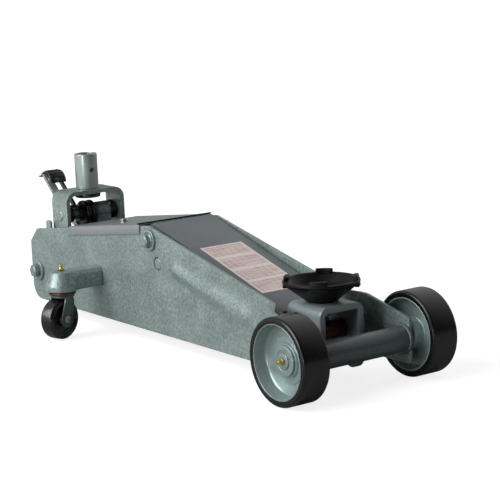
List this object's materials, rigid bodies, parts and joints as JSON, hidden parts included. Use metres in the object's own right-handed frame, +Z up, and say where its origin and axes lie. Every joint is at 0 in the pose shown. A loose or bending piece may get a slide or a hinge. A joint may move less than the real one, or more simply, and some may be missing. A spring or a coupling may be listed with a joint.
{
  "type": "hydraulic trolley jack",
  "caption": "Low hydraulic trolley jack with a swivelling cupped saddle on a lift arm, steel front wheels, rear casters and a rocking handle socket with foot pedal.",
  "frame": {"origin": "on the floor, under the middle of the box round the whole jack", "axes": "+X towards the saddle and front wheels, +Y to the jack's left, +Z up"},
  "size_m": [0.762, 0.3124, 0.244],
  "materials": {
    "frame_paint": "grey-green hammertone enamel, semi-gloss, fine dimples",
    "grey_paint": "light grey enamel, semi-gloss",
    "arm_paint": "dark slate-grey hammertone enamel, semi-gloss",
    "black_paint": "black enamel, semi-gloss, light wear",
    "cast_black": "black-painted casting, slightly rough",
    "tyre_polymer": "hard glossy black tread",
    "caster_polymer": "moulded black nylon, satin gloss",
    "zinc_steel": "zinc-plated steel, satin",
    "ground_steel": "ground and plated ram rod, bright",
    "brass": "turned brass, bright",
    "bronze": "brown copper-flashed steel and bronze, satin"
  },
  "bodies": {
    "frame": {"side_plate_right": "frame_paint", "side_plate_left": "frame_paint", "front_axle_tube": "frame_paint", "rear_cover": "grey_paint", "wheel_spindle_right": "zinc_steel", "wheel_spindle_left": "zinc_steel", "hub_washer_right": "frame_paint", "hub_washer_left": "frame_paint", "hub_nipple_right": "brass", "hub_nipple_left": "brass", "arm_pivot_bolt": "zinc_steel", "arm_pivot_nut": "zinc_steel", "arm_pivot_washer_right": "zinc_steel", "arm_pivot_washer_left": "zinc_steel", "radius_rod_pin_right": "frame_paint", "radius_rod_pin_left": "frame_paint", "power_unit": "frame_paint", "ram_cylinder": "black_paint", "rear_cross_bolt": "zinc_steel", "rear_cross_nut": "zinc_steel", "rear_cross_washer_right": "zinc_steel", "rear_cross_washer_left": "zinc_steel", "yoke_torsion_spring": "bronze", "pump_plunger_spring": "zinc_steel", "caster_bracket_right": "frame_paint", "caster_bracket_left": "frame_paint", "caster_nipple_right": "brass", "caster_nipple_left": "brass"},
    "arm": {"lift_arm": "arm_paint", "cradle_pin": "zinc_steel", "lever_pin": "zinc_steel"},
    "cradle": {"saddle_cradle": "grey_paint", "cradle_pin_sleeve": "bronze", "cradle_link_pin": "zinc_steel"},
    "saddle": {"saddle": "cast_black", "saddle_bolt": "zinc_steel"},
    "rods": {"radius_rod_right": "black_paint", "radius_rod_left": "black_paint"},
    "ram": {"ram_piston": "ground_steel"},
    "wheel_right": {"front_wheel_hub_right": "frame_paint", "front_wheel_tyre_right": "tyre_polymer"},
    "wheel_left": {"front_wheel_hub_left": "frame_paint", "front_wheel_tyre_left": "tyre_polymer"},
    "swivel_right": {"caster_fork_right": "black_paint", "caster_bearing_right": "bronze", "caster_axle_right": "zinc_steel"},
    "swivel_left": {"caster_fork_left": "black_paint", "caster_bearing_left": "bronze", "caster_axle_left": "zinc_steel"},
    "roller_right": {"caster_wheel_right": "caster_polymer"},
    "roller_left": {"caster_wheel_left": "caster_polymer"},
    "yoke": {"handle_yoke": "frame_paint", "yoke_shaft": "zinc_steel", "pump_lever": "black_paint"},
    "grip_socket": {"handle_socket": "grey_paint", "socket_retaining_disc": "black_paint"},
    "plunger": {"pump_plunger": "zinc_steel"},
    "pedal": {"pedal_arm": "grey_paint", "pedal_tread": "black_paint"},
    "screw": {"release_screw": "zinc_steel"}
  },
  "joints": [
    {"name": "arm_lift", "type": "hinge", "parent": "frame", "child": "arm", "pos_m": [-0.03937, 0, 0.1505], "axis": [0, -1, 0], "range_deg": [0, 70]},
    {"name": "cradle_level", "type": "hinge", "parent": "arm", "child": "cradle", "pos_m": [0.268, 0, 0.064], "axis": [0, -1, 0], "range_deg": [-70, 0]},
    {"name": "saddle_swivel", "type": "hinge", "parent": "cradle", "child": "saddle", "pos_m": [0.264, 0, 0.102], "axis": [0, 0, 1], "continuous": true},
    {"name": "rod_swing", "type": "hinge", "parent": "frame", "child": "rods", "pos_m": [-0.02237, 0, 0.1195], "axis": [0, -1, 0], "range_deg": [0, 70]},
    {"name": "ram_stroke", "type": "slide", "parent": "frame", "child": "ram", "axis": [1, 0, 0], "range_m": [0, 0.0804]},
    {"name": "front_wheel_right_roll", "type": "hinge", "parent": "frame", "child": "wheel_right", "pos_m": [0.326, 0, 0.055], "axis": [0, 1, 0], "continuous": true},
    {"name": "front_wheel_left_roll", "type": "hinge", "parent": "frame", "child": "wheel_left", "pos_m": [0.326, 0, 0.055], "axis": [0, 1, 0], "continuous": true},
    {"name": "caster_right_swivel", "type": "hinge", "parent": "frame", "child": "swivel_right", "pos_m": [-0.1868, -0.1175, 0.06], "axis": [0, 0, 1], "continuous": true},
    {"name": "caster_left_swivel", "type": "hinge", "parent": "frame", "child": "swivel_left", "pos_m": [-0.1868, 0.1175, 0.06], "axis": [0, 0, 1], "continuous": true},
    {"name": "caster_right_roll", "type": "hinge", "parent": "swivel_right", "child": "roller_right", "pos_m": [-0.18417, -0.12611, 0.029], "axis": [-0.9563, -0.2924, 0], "continuous": true},
    {"name": "caster_left_roll", "type": "hinge", "parent": "swivel_left", "child": "roller_left", "pos_m": [-0.18417, 0.12611, 0.029], "axis": [0.9563, -0.2924, 0], "continuous": true},
    {"name": "handle_rock", "type": "hinge", "parent": "frame", "child": "yoke", "pos_m": [-0.301, 0, 0.1546], "axis": [0, -1, 0], "range_deg": [0, 55], "stiffness_Nm_per_rad": 0.6, "springref_deg": -34.38},
    {"name": "pump_stroke", "type": "slide", "parent": "frame", "child": "plunger", "axis": [0, 0, -1], "range_m": [0, 0.0269], "deforming": ["pump_plunger_spring"]},
    {"name": "pedal_press", "type": "hinge", "parent": "yoke", "child": "pedal", "pos_m": [-0.301, 0, 0.1546], "axis": [0, -1, 0], "range_deg": [0, 22], "stiffness_Nm_per_rad": 0.4, "springref_deg": -45.84},
    {"name": "handle_twist", "type": "hinge", "parent": "yoke", "child": "grip_socket", "pos_m": [-0.301, 0, 0.191], "axis": [0, 0, 1], "range_deg": [-45, 90]},
    {"name": "release_turn", "type": "hinge", "parent": "frame", "child": "screw", "pos_m": [-0.29, -0.028, 0.088], "axis": [0, 0, 1], "range_deg": [-45, 90]}
  ],
  "couplings": [
    {"joint": "cradle_level", "follows": "arm_lift", "ratio": -1},
    {"joint": "rod_swing", "follows": "arm_lift", "ratio": 1},
    {"joint": "ram_stroke", "follows": "arm_lift", "m_per_rad": 0.0657},
    {"joint": "pump_stroke", "follows": "handle_rock", "m_per_rad": 0.028},
    {"joint": "release_turn", "follows": "handle_twist", "ratio": 1}
  ]
}
